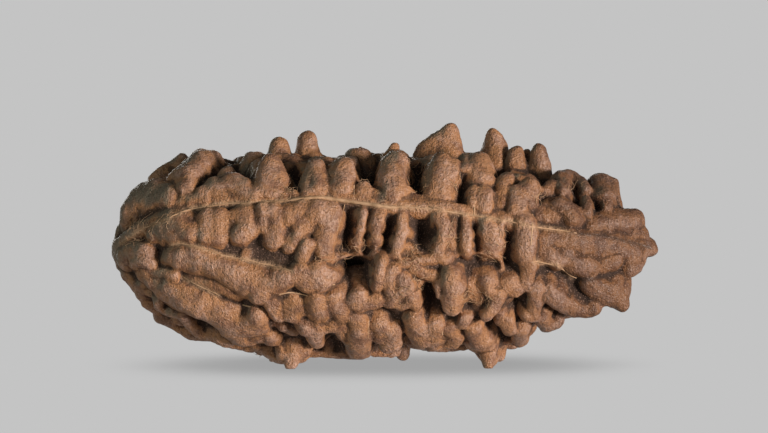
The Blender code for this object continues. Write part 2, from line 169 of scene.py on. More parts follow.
LOWER_ROW = [
    (1.1, 1.9, [(-21.5, 9.4, 0.6), (-20.8, 9.3, 0.85), (-20.0, 9.5, 0.75), (-19.3, 9.7, 0.55)]),
    (1.6, 1.9, [(-20.0, 8.8, 0.6), (-19.2, 8.8, 0.5)]),
    (0.6, 0.7, [(-21.8, 9.9, 0.3), (-21.8, 9.0, 0.3)]),
    (1.7, 2.2, [(-17.3, 9.4, 0.6), (-16.3, 9.1, 0.85), (-14.8, 8.9, 0.9), (-13.3, 8.5, 0.9),
        (-12.0, 7.9, 1.05), (-10.8, 7.3, 1.25), (-9.6, 6.9, 1.3), (-8.6, 7.0, 1.1), (-7.9, 7.3, 0.7)]),
    (2.1, 2.1, [(-10.1, 6.2, 0.8), (-9.4, 6.2, 0.7)]),
    (1.3, 1.5, [(-15.5, 7.55, 0.3), (-14.7, 7.3, 0.5), (-13.6, 6.9, 0.55), (-12.7, 6.4, 0.5),
        (-12.0, 6.0, 0.4)]),
    (1.4, 2.3, [(-19.7, 7.7, 0.4), (-18.6, 7.3, 0.65), (-17.4, 6.8, 1.0), (-16.0, 6.2, 1.15),
        (-14.6, 5.5, 1.15), (-13.2, 4.8, 1.25), (-12.0, 4.0, 1.3), (-11.0, 3.9, 1.1), (-10.5, 4.1, 0.75)]),
    (2.1, 2.1, [(-12.2, 3.2, 0.9), (-11.6, 2.7, 0.9)]),
    (1.6, 1.7, [(-19.5, 7.9, 0.3), (-18.2, 7.9, 0.3), (-17.0, 7.7, 0.35)]),
    (0.7, 1.0, [(-21.7, 8.4, 0.3), (-20.8, 7.6, 0.35), (-20.2, 7.0, 0.35), (-19.4, 6.5, 0.35),
        (-18.4, 6.2, 0.35), (-17.8, 5.9, 0.3)]),
    (1.2, 1.5, [(-17.8, 5.9, 0.3), (-17.0, 5.3, 0.3), (-16.0, 4.9, 0.3), (-15.0, 4.6, 0.3)]),
    (0.2, 0.4, [(-21.3, 7.4, 0.3), (-20.6, 6.6, 0.35), (-20.0, 5.9, 0.35)]),
    (1.2, 1.3, [(-19.3, 5.4, 0.55), (-18.9, 4.9, 0.5)]),
    (1.3, 1.5, [(-18.5, 4.1, 0.6), (-17.9, 3.9, 0.55)]),
    (1.6, 1.7, [(-18.3, 5.5, 0.3), (-18.3, 4.9, 0.3), (-17.9, 4.6, 0.35), (-17.2, 4.4, 0.35),
        (-16.5, 4.3, 0.35)]),
    (1.7, 1.8, [(-16.4, 4.1, 0.35), (-16.0, 3.5, 0.4), (-15.4, 3.0, 0.4), (-14.6, 2.7, 0.42),
        (-14.0, 2.6, 0.4)]),
    (2.1, 1.9, [(-8.8, 5.3, 0.75), (-8.6, 4.6, 0.6)]),
    (2.1, 1.9, [(-7.2, 5.3, 0.85), (-7.3, 4.6, 0.75), (-6.6, 4.9, 0.5)]),
    (2.2, 2.1, [(-5.3, 5.6, 0.8), (-5.2, 4.8, 0.85)]),
    (2.0, 2.0, [(-3.9, 5.9, 0.6), (-3.6, 5.2, 0.75), (-3.4, 4.6, 0.7)]),
    (2.2, 2.2, [(-6.6, 7.9, 0.75), (-6.2, 7.3, 0.75)]),
    (2.2, 2.1, [(-5.4, 8.1, 0.7), (-5.0, 7.4, 0.65), (-4.6, 7.6, 0.5)]),
    (1.9, 1.9, [(-0.1, 8.7, 0.35), (-0.3, 7.7, 0.35), (-0.4, 6.8, 0.35)]),
    (2.0, 2.0, [(-2.0, 5.9, 0.6), (-1.9, 5.3, 0.6)]),
    (1.9, 1.9, [(-1.1, 5.4, 0.45), (-0.4, 5.7, 0.55)]),
    (1.9, 1.9, [(0.9, 7.9, 0.4), (0.6, 7.2, 0.35), (0.6, 6.4, 0.35)]),
    (2.0, 1.9, [(1.7, 7.2, 0.4), (1.9, 6.7, 0.35), (1.1, 6.2, 0.4), (0.6, 5.5, 0.4)]),
    (1.8, 1.7, [(1.4, 5.3, 0.4), (2.2, 5.8, 0.35), (2.4, 5.2, 0.35)]),
    (1.6, 1.6, [(2.5, 8.0, 0.4), (3.4, 7.7, 0.35), (4.1, 7.6, 0.35)]),
    (1.5, 1.5, [(1.7, 8.6, 0.35), (3.3, 8.9, 0.35), (4.6, 9.1, 0.35)]),
    (2.5, 2.4, [(5.3, 7.5, 0.55), (5.6, 6.6, 0.6), (5.6, 5.7, 0.6), (5.5, 4.9, 0.5)]),
    (2.0, 1.9, [(5.0, 7.6, 0.4), (4.5, 6.9, 0.35), (4.6, 6.1, 0.3)]),
    (1.5, 1.4, [(6.5, 5.9, 0.4), (7.2, 6.3, 0.35), (7.9, 5.9, 0.4)]),
    (2.0, 2.0, [(8.6, 6.9, 0.45), (8.5, 6.3, 0.35)]),
    (2.3, 2.4, [(9.4, 5.9, 0.5), (8.9, 5.1, 0.5), (8.4, 4.5, 0.45)]),
    (2.1, 2.1, [(10.1, 6.8, 0.65), (10.6, 6.4, 0.6)]),
    (1.9, 1.9, [(9.5, 4.5, 0.35), (9.5, 3.9, 0.35)]),
    (2.3, 2.3, [(12.3, 6.4, 0.5), (12.4, 5.4, 0.5), (12.2, 4.4, 0.45), (11.6, 4.3, 0.4)]),
    (2.3, 3.2, [(13.4, 6.3, 0.45), (14.2, 5.8, 0.6), (15.0, 5.2, 0.65), (15.8, 4.9, 0.65),
        (16.6, 4.8, 0.65), (17.1, 4.9, 0.5)]),
    (2.4, 3.4, [(16.9, 7.0, 0.6), (17.6, 6.6, 0.85), (18.3, 6.3, 0.9), (18.9, 5.8, 0.7),
        (19.4, 5.3, 0.5)]),
    (2.3, 2.3, [(17.3, 5.6, 0.4), (17.9, 5.7, 0.4)]),
]
UNDER_ROW = [
    (1.8, 1.8, [(-10.5, 2.9, 0.65), (-10.2, 3.3, 0.5)]),
    (1.8, 1.8, [(-9.3, 2.5, 0.65), (-9.6, 2.8, 0.6)]),
    (1.6, 1.6, [(-10.6, 1.8, 0.5), (-9.6, 1.4, 0.55), (-8.6, 1.0, 0.55)]),
    (1.5, 1.5, [(-8.3, 3.4, 0.35), (-7.5, 3.0, 0.4)]),
    (2.0, 2.0, [(-7.8, 1.8, 0.5), (-7.1, 1.7, 0.65), (-6.7, 1.6, 0.5)]),
    (2.2, 2.1, [(-6.3, 3.5, 0.75), (-5.5, 3.4, 0.75), (-5.6, 2.6, 0.6), (-5.5, 1.9, 0.45)]),
    (2.0, 1.9, [(-4.3, 3.6, 0.5), (-3.6, 3.5, 0.5), (-3.4, 2.7, 0.35), (-3.3, 2.2, 0.25)]),
    (1.6, 1.9, [(-3.9, 1.6, 0.3), (-3.7, 1.0, 0.45)]),
    (2.2, 2.6, [(-2.2, 3.9, 0.6), (-2.2, 3.1, 0.85), (-2.2, 2.2, 0.9), (-2.2, 1.3, 0.8)]),
    (2.1, 2.2, [(-0.4, 3.5, 0.65), (-0.3, 2.6, 0.65)]),
    (2.2, 2.4, [(0.4, 3.1, 0.8), (0.6, 2.0, 0.75)]),
    (2.1, 2.4, [(2.4, 4.0, 0.65), (2.9, 3.2, 0.9), (3.2, 2.5, 0.8)]),
    (2.2, 2.4, [(4.1, 3.5, 0.65), (4.1, 2.6, 0.8), (4.2, 1.9, 0.7)]),
    (2.1, 2.4, [(5.5, 3.4, 0.5), (5.8, 2.7, 0.75), (5.6, 2.0, 0.6)]),
    (2.1, 2.9, [(7.4, 3.5, 0.6), (7.9, 2.6, 1.0), (8.4, 1.7, 0.95), (8.75, 0.85, 0.7)]),
    (2.1, 2.1, [(6.6, 4.2, 0.4), (6.5, 3.8, 0.4)]),
    (2.2, 2.3, [(10.0, 3.8, 0.5), (10.3, 3.2, 0.45)]),
    (2.3, 2.5, [(11.3, 3.2, 0.5), (11.2, 2.2, 0.5)]),
    (2.1, 2.2, [(10.2, 2.3, 0.4), (10.7, 2.3, 0.4)]),
    (2.3, 2.4, [(12.9, 4.2, 0.5), (13.6, 3.6, 0.55), (14.3, 3.8, 0.45)]),
]
# The crest and the under edge, seen against the light: a depth and a chain.
CREST_ROW = [
    (0.5, [(-19.0, 15.3, 0.55), (-18.5, 15.9, 0.5), (-17.7, 16.3, 0.5), (-16.7, 17.0, 0.6)]),
    (1.6, [(-13.7, 16.8, 0.4), (-12.5, 16.6, 0.35), (-11.4, 16.4, 0.35)]),
    (1.2, [(-10.2, 16.0, 0.5), (-9.8, 16.6, 0.4)]),
    (0.8, [(-8.7, 17.4, 0.85), (-8.7, 18.35, 0.8)]),
    (-0.8, [(-7.8, 16.9, 0.6), (-7.5, 17.3, 0.5)]),
    (0.9, [(-6.5, 17.4, 1.0), (-6.4, 18.7, 0.9)]),
    (-0.6, [(-6.8, 16.7, 0.75), (-5.9, 16.9, 0.4)]),
    (1.4, [(-4.4, 16.4, 0.6), (-3.6, 17.0, 0.55), (-2.6, 17.1, 0.5)]),
    (1.2, [(-2.0, 17.3, 0.3), (-1.95, 17.9, 0.25)]),
    (1.8, [(-1.3, 17.3, 0.5), (-0.5, 16.9, 0.5)]),
    (-0.2, [(0.3, 17.2, 0.7), (0.75, 18.2, 0.35)]),
    (1.6, [(1.9, 16.8, 0.5), (2.4, 16.9, 0.5)]),
    (1.0, [(5.2, 17.5, 1.2), (5.35, 18.5, 1.1), (5.55, 19.4, 0.85), (5.6, 19.8, 0.6)]),
    (0.9, [(3.0, 17.6, 0.7), (3.6, 18.2, 0.85), (4.3, 18.6, 0.85), (4.9, 19.0, 0.8)]),
    (0.6, [(6.8, 17.0, 0.7), (7.6, 17.3, 0.6)]),
    (1.2, [(8.6, 17.3, 1.0), (9.0, 18.3, 0.95), (9.15, 19.1, 0.75)]),
    (1.4, [(9.6, 17.2, 0.9), (9.5, 18.4, 0.75)]),
    (0.2, [(11.0, 16.6, 0.75), (11.0, 17.6, 0.7)]),
    (0.8, [(11.9, 16.8, 0.5), (11.9, 17.6, 0.4)]),
    (0.0, [(12.7, 16.2, 0.8), (12.9, 17.6, 0.7)]),
    (0.2, [(14.2, 15.4, 0.6), (15.6, 15.6, 0.6)]),
    (0.6, [(17.8, 14.8, 0.8), (18.6, 14.4, 0.7)]),
    (0.4, [(-18.4, 3.8, 0.4), (-17.4, 3.4, 0.4), (-16.0, 2.8, 0.45), (-14.2, 2.6, 0.5), (-12.6, 2.1, 0.5),
        (-11.0, 1.6, 0.5)]),
    (-1.6, [(-13.4, 2.4, 0.55), (-12.7, 2.1, 0.55)]),
    (-0.6, [(-8.4, 0.9, 0.5), (-7.4, 0.8, 0.45), (-6.6, 0.8, 0.45)]),
    (-1.6, [(-8.3, 1.2, 0.6), (-7.4, 1.0, 0.7), (-6.5, 1.3, 0.6)]),
    (-0.4, [(-5.9, 1.2, 0.5), (-4.6, 1.1, 0.5), (-3.4, 1.0, 0.5), (-2.2, 1.0, 0.55)]),
    (0.2, [(-5.6, 1.3, 0.4), (-4.6, 1.3, 0.4)]),
    (0.0, [(-1.0, 1.1, 0.4), (0.3, 1.0, 0.35), (0.9, 1.2, 0.4), (1.3, 1.7, 0.3)]),
    (0.4, [(2.4, 2.2, 0.5), (3.6, 1.9, 0.5), (5.0, 1.6, 0.45), (6.8, 1.7, 0.45)]),
    (-0.4, [(8.6, 1.6, 0.8), (8.9, 0.7, 0.7)]),
    (0.6, [(12.6, 4.2, 0.5), (14.2, 4.6, 0.5)]),
]
# Hollows sunk in the bed between the ridges: x, up, half width, half height, depth.
HOLLOWS = [
    (-21.3, 12.6, 0.25, 0.9, 0.8), (-20.8, 13.8, 0.25, 0.6, 0.8), (-17.7, 15.7, 0.7, 0.9, 2.6),
    (-14.0, 16.3, 0.8, 0.95, 2.8), (-11.7, 16.2, 0.8, 0.85, 2.8), (-15.0, 11.1, 0.25, 0.6, 1.2),
    (-10.4, 12.1, 0.2, 1.1, 1.0), (-7.8, 11.6, 0.4, 1.2, 1.5), (-6.4, 10.3, 0.8, 0.5, 1.8),
    (-7.2, 15.2, 0.7, 1.2, 2.4), (-2.9, 11.2, 1.1, 1.4, 1.8), (-1.2, 16.5, 0.9, 1.1, 2.6),
    (-1.4, 10.2, 0.4, 0.8, 1.6), (0.4, 10.9, 0.8, 1.8, 1.8), (2.9, 15.2, 1.0, 1.3, 2.6),
    (6.1, 14.4, 0.7, 1.1, 2.0), (5.7, 15.5, 0.4, 0.5, 1.6), (9.5, 17.0, 0.8, 1.3, 3.0),
    (9.3, 15.0, 0.3, 0.6, 1.2), (3.0, 11.3, 1.3, 1.2, 2.0), (7.4, 10.9, 0.6, 1.2, 1.8),
    (10.5, 9.9, 0.8, 1.9, 2.6), (12.9, 15.5, 0.4, 0.5, 2.0), (15.4, 14.6, 0.7, 0.9, 2.4),
    (12.8, 13.7, 0.5, 0.5, 0.8), (17.6, 13.1, 0.7, 0.3, 1.6), (-18.0, 9.0, 0.4, 0.9, 2.2),
    (-12.3, 5.5, 0.7, 0.5, 1.4), (-19.3, 5.6, 0.9, 0.4, 1.2), (-14.9, 3.7, 1.3, 0.75, 2.4),
    (-9.3, 4.4, 0.9, 0.5, 1.8), (-2.4, 7.7, 1.7, 1.3, 3.2), (-0.6, 4.4, 1.0, 0.45, 2.0),
    (-8.9, 3.0, 1.1, 0.3, 1.2), (-4.7, 2.0, 0.4, 1.0, 2.2), (1.7, 2.9, 0.4, 1.3, 1.8),
    (8.9, 3.5, 0.7, 0.8, 2.6), (3.8, 5.5, 1.0, 1.2, 2.2), (3.4, 4.5, 0.6, 0.4, 1.4),
    (6.9, 8.3, 1.9, 0.8, 2.6), (6.5, 4.3, 0.5, 0.9, 2.0), (10.8, 5.0, 1.0, 0.7, 2.6),
    (12.4, 8.2, 0.8, 0.6, 2.0), (13.6, 7.6, 1.1, 0.6, 2.4), (15.0, 6.5, 0.8, 0.6, 2.4),
    (16.0, 5.7, 0.7, 0.6, 2.2), (13.8, 5.3, 0.9, 0.9, 2.6), (19.3, 8.0, 0.5, 0.4, 1.2),
    (14.3, 9.2, 0.4, 0.25, 0.8),
]
# How far past its half width a hollow runs out, squared, and the curve of its wall.
HOLLOW_RIM, HOLLOW_SLOPE = 1.8, 0.8
# The bed between the ridges stands a little over the core, higher on the front
# face, and runs out towards the ends.
FRONT_BED, BACK_BED = 1.05, 0.8
BED_TURN_FROM, BED_TURN_OVER = -0.05, 0.4
BED_TAPER = 7.0
# Knobs of the underside that carry the seed, each an x and a depth.
FEET = [(-7.4, -1.8), (8.7, -1.4), (-9.0, 3.6), (1.5, 4.0), (9.6, 3.0)]
FOOT_RADIUS = 0.55
FOOT_UP = 0.5
FOOT_HEEL = 1.5  # the foot's stout upper end is this much higher
HEEL_RADIUS = 1.6 * FOOT_RADIUS
HEEL_INWARD = 0.9
# Lower knobs crowd round each far foot: how far aside, out and above its tip.
FOOT_KNOBS = [(-1.2, 0.3, 0.9), (1.1, 0.8, 1.4), (-0.2, 1.4, 1.2), (-0.4, -1.3, 1.0)]
FOOT_KNOB_RADIUS = 1.4 * FOOT_RADIUS
# The far face: the angle round the axis of each row, and how high its ridges stand.
FAR_ROWS = [(122, 1.2), (149, 2.3), (176, 2.8), (203, 2.8), (230, 2.3), (258, 1.5)]
HALF_SECTOR = math.radians(13.5)
FAR_SEAM_ANGLES = [math.radians(angle) for angle in (135, 162, 190, 217, 244)]
SWAY, SWAY_ALONG, SWAY_TURN = 0.03, 0.7, 5.0
RIDGE_PITCH = 2.2
PITCH_SHARE = (0.85, 1.2)
RIDGES_FROM, RIDGES_TO = -13.5, 16.5
# A far ridge rises across its row from a low end over a middle to a tip. Turns are
# in radians off the middle of the row, and stands are shares of the row's height.
LOW_TURN, TIP_TURN = 0.16, 0.13
LOW_STAND, MIDDLE_STAND, TIP_STAND = (0.3, 0.5), (0.45, 0.75), (0.6, 1.0)
MIDDLE_SHIFT, TIP_SHIFT = (-0.5, 0.5), (-0.6, 0.9)
LOW_RADIUS, MIDDLE_RADIUS, TIP_RADIUS = (0.5, 0.9), (0.55, 1.05), (0.45, 0.95)
# Each far row runs out as a long lobe with a thin rib beside it at the broad end,
# and as a knob at the slim end: (x, lift, radius).
POLE_LOBE = [(-21.2, 0.0, 0.35), (-20.2, 0.35, 0.6), (-18.0, 0.7, 0.8), (-14.8, 0.9, 1.0)]
POLE_RIB = [(-21.4, 0.2, 0.3), (-19.5, 0.4, 0.35), (-16.0, 0.6, 0.4)]
SLIM_KNOB = [(17.4, 1.0, 0.8), (19.6, 1.2, 0.6)]
SLIM_KNOB_TURN = 0.1
SIDE_SEED = 108
# Low lumps that crowd the bed between the ridges, clear of the hollows.
FILL_COUNT = 560
FILL_FROM, FILL_TO = -19.5, 20.0
FILL_RADIUS = (0.45, 0.8)
FILL_SLIMMING = 0.9
FILL_HEIGHT, FAR_FILL_HEIGHT = (1.1, 1.55), (1.1, 1.7)
FILL_FRONTWARD = 0.2  # above this a lump faces the front
FILL_END_SHARE = 0.45  # how much of their height they keep at the ends
FILL_TWIST = 1.2
CLEAR_OF_HOLLOW = 2.5
# The seams of the front face, (x, up), on a low bed of their own.
SEAMS = [
    [(-21.6, 10.2), (-20.0, 11.3), (-18.0, 12.1), (-16.0, 13.0), (-13.0, 13.5), (-10.0, 13.6),
     (-8.0, 13.7), (-6.0, 13.95), (-5.0, 14.0), (-3.0, 13.7), (-1.0, 13.4), (0.5, 13.2),
     (2.0, 13.2), (4.0, 13.05), (6.0, 12.7), (8.0, 12.4), (10.0, 12.1), (12.0, 11.6),
     (14.0, 11.4), (16.0, 11.05), (18.0, 10.9), (20.0, 10.4), (21.9, 9.9)],
    [(-17.3, 10.1), (-16.5, 10.3), (-15.0, 9.95), (-13.0, 9.3), (-11.0, 8.9), (-9.0, 8.45),
     (-7.5, 8.05)],
    [(-16.3, 7.5), (-15.0, 6.8), (-13.5, 6.1)],
    [(12.2, 8.8), (14.0, 8.5), (14.8, 8.0), (15.4, 7.4), (17.0, 7.3), (18.0, 7.6), (19.0, 7.9)],
]
MAIN_SEAM = SEAMS[0]
BED_HEIGHT = 1.65
BED_RADIUS = 0.75
# Towards the slim end the main seam is an open, dark groove.
GROOVE_FROM = 15.8


def core_radius(x):
    """How far the valley floor lies from the long axis, at a place along it."""
    power, fullness = BLUNT_END if x < 0 else SLIM_END
    along = min(abs(x) / HALF_LENGTH, 1.0)
    return CORE_RADIUS * (1.0 - along ** power) ** fullness


def front_spot(x, up, lift):
    """The place on the front face seen at x and up, at a lift above the floor."""
    reach = core_radius(x) + lift
    rise = up - AXIS_UP
    return Vector((x, -math.sqrt(max(reach ** 2 - rise ** 2, 0.0)), up))


def side_spot(x, angle, lift):
    """A place round the axis: 0 faces the front, a quarter turn is the top."""
    reach = core_radius(x) + lift
    return Vector((x, -reach * math.cos(angle), AXIS_UP + reach * math.sin(angle)))


def toward_axis(place):
    """The point of the core straight below a place on the surface."""
    outward = Vector((0.0, place.y, place.z - AXIS_UP))
    sunk = max(core_radius(place.x) - ROOT_DEPTH, THIN_ROOT)
    return Vector((place.x, 0.0, AXIS_UP)) + outward.normalized() * sunk


def add_capsule(form, start, start_radius, end, end_radius, spread=1.0):
    """A round-ended peg between two points, with its own radius at each end.

    The spread makes it broader along the skin than it is high.
    """
    ball = bmesh.ops.create_icosphere(form, subdivisions=3, radius=1.0)["verts"]
    along = (end - start).normalized()
    outward = (end * Vector((0.0, 1.0, 1.0)) - Vector((0.0, 0.0, AXIS_UP))).normalized()
    for vert in ball:
        high = outward * vert.co.dot(outward)
        broad = high + (vert.co - high) * spread
        if vert.co.dot(along) > 0.0:
            vert.co = end + broad * end_radius
        else:
            vert.co = start + broad * start_radius


def add_ridge(form, places, spread=1.0):
    """A ridge through the places, each a point and a radius, rooted in the core."""
    ridge = bmesh.new()
    for place, radius in places:
        root = radius * ROOT_FLARE + ROOT_SPREAD * end_taper(place.x)
        add_capsule(ridge, toward_axis(place), root, place, radius, spread)
    for (start, start_radius), (end, end_radius) in zip(places, places[1:]):
        add_capsule(ridge, start, start_radius, end, end_radius, spread)
    loose = bpy.data.meshes.new("ridge")
    ridge.to_mesh(loose)
    ridge.free()
    form.from_mesh(loose)
    bpy.data.meshes.remove(loose)


def along_chain(low, high, chain):
    """The chain's points, with the ridge's height going evenly from low to high."""
    steps = max(len(chain) - 1, 1)
    for index, (x, up, radius) in enumerate(chain):
        height = low + (high - low) * index / steps
        yield front_spot(x, up, height - radius), radius


def end_taper(x):
    """1 along the middle of the seed, falling to 0 at its two ends."""
    return np.clip((HALF_LENGTH - abs(x)) / BED_TAPER, 0.0, 1.0)


def seam_sway(x, angle):
    """How a far seam wanders from its angle along the seed."""
    return SWAY * np.sin(x * SWAY_ALONG + angle * SWAY_TURN)


def bed_rise(x, frontward):
    """How far the bed between the ridges stands over the valley floor.

    Frontward is 1 for a place that faces the front and -1 for the far side.
    """
    share = np.clip((frontward - BED_TURN_FROM) / BED_TURN_OVER, 0.0, 1.0)
    return (BACK_BED + (FRONT_BED - BACK_BED) * share) * end_taper(x)


def read_points(mesh):
    """A mesh's points as rows of x, y, z."""
    points = np.empty(len(mesh.vertices) * 3, np.float32)
    mesh.vertices.foreach_get("co", points)
    return points.reshape(-1, 3).astype(float)


# The core, drawn out from a ball, with the hollows sunk in its front face.
form = bmesh.new()
around_count, along_count = CORE_SEGMENTS
ball = bmesh.ops.create_uvsphere(form, u_segments=around_count, v_segments=along_count, radius=1.0)
for vert in ball["verts"]:
    x = vert.co.z * HALF_LENGTH
    around = math.atan2(vert.co.y, vert.co.x)
    reach = core_radius(x) + bed_rise(x, -math.cos(around))
    vert.co = (x, reach * math.cos(around), AXIS_UP + reach * math.sin(around))
core = bpy.data.meshes.new("core")
form.to_mesh(core)
form.free()
points = read_points(core)
sunk = np.zeros(len(points))
for x, up, half_x, half_up, depth in HOLLOWS:
    off = ((points[:, 0] - x) / half_x) ** 2 + ((points[:, 2] - up) / half_up) ** 2
    sunk = np.maximum(sunk, depth * np.clip(1.0 - off / HOLLOW_RIM, 0.0, 1.0) ** HOLLOW_SLOPE)
sunk[points[:, 1] > 0.0] = 0.0
outward = points * (0.0, 1.0, 1.0) - (0.0, 0.0, AXIS_UP)
outward /= np.maximum(np.linalg.norm(outward, axis=1), 0.001)[:, None]
points -= outward * sunk[:, None]
core.vertices.foreach_set("co", points.astype(np.float32).ravel())

# The ridges of the front face, the crest, and the raised bed of the main seam.
form = bmesh.new()
form.from_mesh(core)
for row in (UPPER_ROW, FRONT_ROW, LOWER_ROW, UNDER_ROW):
    for low, high, chain in row:
        add_ridge(form, list(along_chain(low, high, chain)), SPREAD)
for depth, chain in CREST_ROW:
    add_ridge(form, [(Vector((x, depth, up)), radius) for x, up, radius in chain])
add_ridge(form, [(front_spot(x, up, BED_HEIGHT - BED_RADIUS), BED_RADIUS) for x, up in MAIN_SEAM])

# The far side: a row of ridges between each two seams.
dice = random.Random(SIDE_SEED)
for angle, stand in FAR_ROWS:
    sector = math.radians(angle)
    lean = dice.choice((-1, 1))
    x = RIDGES_FROM + dice.uniform(0.0, RIDGE_PITCH)
    while x < RIDGES_TO:
        low = side_spot(x, sector - lean * LOW_TURN, dice.uniform(*LOW_STAND) * stand)
        middle = side_spot(x + dice.uniform(*MIDDLE_SHIFT), sector,
                           dice.uniform(*MIDDLE_STAND) * stand)
        tip = side_spot(x + dice.uniform(*TIP_SHIFT), sector + lean * TIP_TURN,
                        dice.uniform(*TIP_STAND) * stand)
        add_ridge(form, [(low, dice.uniform(*LOW_RADIUS)), (middle, dice.uniform(*MIDDLE_RADIUS)),
                         (tip, dice.uniform(*TIP_RADIUS))])
        x += RIDGE_PITCH * dice.uniform(*PITCH_SHARE)
    add_ridge(form, [(side_spot(x, sector, lift), radius) for x, lift, radius in POLE_LOBE])
    add_ridge(form, [(side_spot(x, sector + HALF_SECTOR, lift), radius)
                     for x, lift, radius in POLE_RIB])
    turns = (-lean * SLIM_KNOB_TURN, 0.0)
    add_ridge(form, [(side_spot(x, sector + turn, lift), radius)
                     for turn, (x, lift, radius) in zip(turns, SLIM_KNOB)])


def in_hollow(x, up):
    """Whether a place of the front face lies in or close by one of the hollows."""
    return any(((x - hole_x) / half_x) ** 2 + ((up - hole_up) / half_up) ** 2 < CLEAR_OF_HOLLOW
               for hole_x, hole_up, half_x, half_up, _ in HOLLOWS)


for _ in range(FILL_COUNT):
    x = dice.uniform(FILL_FROM, FILL_TO)
    angle = dice.uniform(-math.pi, math.pi)
    radius = dice.uniform(*FILL_RADIUS)
    heights = FILL_HEIGHT if math.cos(angle) > FILL_FRONTWARD else FAR_FILL_HEIGHT
    kept = FILL_END_SHARE + (1.0 - FILL_END_SHARE) * end_taper(x)
    lift = dice.uniform(*heights) * kept - radius
    spot = side_spot(x, angle, lift)
    along = dice.uniform(-1.0, 1.0) * radius
    twist = dice.uniform(-FILL_TWIST, FILL_TWIST) * radius / CORE_RADIUS
    other = side_spot(x + along, angle + twist, lift)
    if spot.y >= 0.0 or not in_hollow(x, spot.z):
        add_ridge(form, [(spot, radius), (other, radius * FILL_SLIMMING)], SPREAD)

# The feet, each a stout knob; those of the far side have lower knobs round them.
for x, depth in FEET:
    up = FOOT_UP + depth * math.tan(FRONT_ROLL)
    add_ridge(form, [(Vector((x, depth * HEEL_INWARD, up + FOOT_HEEL)), HEEL_RADIUS),
                     (Vector((x, depth, up)), FOOT_RADIUS)])
    if depth > 0.0:
        for aside, out, above in FOOT_KNOBS:
            add_ridge(form, [(Vector((x + aside, depth + out, up + above)), FOOT_KNOB_RADIUS)])

# The ridges grow into one skin.
VOXEL = 0.12
SMOOTH_PASSES = 7
SMOOTH_STRENGTH = 0.5
FACE_BUDGET = 196000
mesh = bpy.data.meshes.new("seed")
form.to_mesh(mesh)
form.free()
seed = bpy.data.objects.new("seed", mesh)
objects.link(seed)


def bake(piece):
    """Replace a piece's mesh with its evaluated one, without modifiers."""
    graph = bpy.context.evaluated_depsgraph_get()
    solid = bpy.data.meshes.new_from_object(piece.evaluated_get(graph))
    piece.modifiers.clear()
    piece.data = solid


skin = seed.modifiers.new("skin", "REMESH")
skin.mode = "VOXEL"
skin.voxel_size = VOXEL
worn = seed.modifiers.new("worn", "SMOOTH")
worn.factor = SMOOTH_STRENGTH
worn.iterations = SMOOTH_PASSES
bake(seed)


def to_world(place):
    """From the layout to the frame: rolled, seated, and in metres."""
    centre = Vector((0.0, 0.0, AXIS_UP))
    return (Matrix.Rotation(-FRONT_ROLL, 3, "X") @ (place - centre) + centre + SEAT) * MILLIMETRE


class SoftNoise:
    """Smooth random values from -1 to 1 over space, repeating every CELLS steps."""

    CELLS = 64

    def __init__(self, seed):
        dice = np.random.default_rng(seed)
        self.table = dice.uniform(-1.0, 1.0, (self.CELLS,) * 3)

    def at(self, points, size):
        """The value at each point, with bumps of about a size, or a size per axis."""
        cell = points / size
        base = np.floor(cell).astype(int)
        part = cell - base
        part = part * part * (3.0 - 2.0 * part)
        total = np.zeros(len(points))
        for corner in product((0, 1), repeat=3):
            weight = np.prod(np.where(corner, part, 1.0 - part), axis=1)
            place = (base + corner) % self.CELLS
            total += weight * self.table[place[:, 0], place[:, 1], place[:, 2]]
        return total


def read_normals(mesh):
    """The outward direction at each of a mesh's points."""
    normals = np.empty(len(mesh.vertices) * 3, np.float32)
    mesh.vertex_normals.foreach_get("vector", normals)
    return normals.reshape(-1, 3).astype(float)


# The skin is wrung a little out of true, then swells in lumps with fine creases
# between them, and carries a fibrous grain that runs round the seed. Each is the
# size of its lumps and how far it moves the skin.
WRUNG = [(2.6, 0.26), (1.1, 0.07)]
SWOLLEN = [(1.7, 0.09), (0.8, 0.06), (0.4, 0.035)]
CREASE_LEVEL = 0.25
STRIPE_SIZE, STRIPE_HEIGHT = np.array((0.3, 1.2, 1.2)), 0.035
noises = [SoftNoise(SIDE_SEED + step) for step in range(6)]
points = read_points(seed.data)
for size, amount in WRUNG:
    points += amount * np.column_stack([noise.at(points, size) for noise in noises[:3]])
seed.data.vertices.foreach_set("co", points.astype(np.float32).ravel())
seed.data.update()
normals = read_normals(seed.data)
swell = np.zeros(len(points))
for (size, amount), noise in zip(SWOLLEN, noises[3:]):
    swell += amount * (np.abs(noise.at(points, size)) - CREASE_LEVEL)
swell += STRIPE_HEIGHT * noises[0].at(points, STRIPE_SIZE)
points += normals * swell[:, None]

# Down onto its rest, and thinned to a workable number of faces.
roll = np.array(Matrix.Rotation(-FRONT_ROLL, 3, "X"))
centre = np.array((0.0, 0.0, AXIS_UP))
points = ((points - centre) @ roll.T + centre + np.array(SEAT)) * MILLIMETRE
points[:, 2] = np.maximum(points[:, 2], 0.0)
seed.data.vertices.foreach_set("co", points.astype(np.float32).ravel())
thin = seed.modifiers.new("thin", "DECIMATE")
thin.ratio = min(1.0, FACE_BUDGET / sum(len(face.vertices) - 2 for face in seed.data.polygons))
bake(seed)
seed.data.shade_smooth()


def even_out(values, pairs, passes):
    """Each point's values, averaged with its neighbours' a number of times."""
    ends = np.concatenate([pairs[:, 0], pairs[:, 1]])
    others = np.concatenate([pairs[:, 1], pairs[:, 0]])
    share = np.bincount(ends, minlength=len(values))
    for _ in range(passes):
        values = np.column_stack([np.bincount(ends, column[others], len(values)) / share
                                  for column in values.T])
    return values


def keep(mesh, name, values):
    """Store one number per point, held between 0 and 1."""
    field = mesh.attributes.new(name, "FLOAT", "POINT")
    field.data.foreach_set("value", np.clip(values, 0.0, 1.0).astype(np.float32))


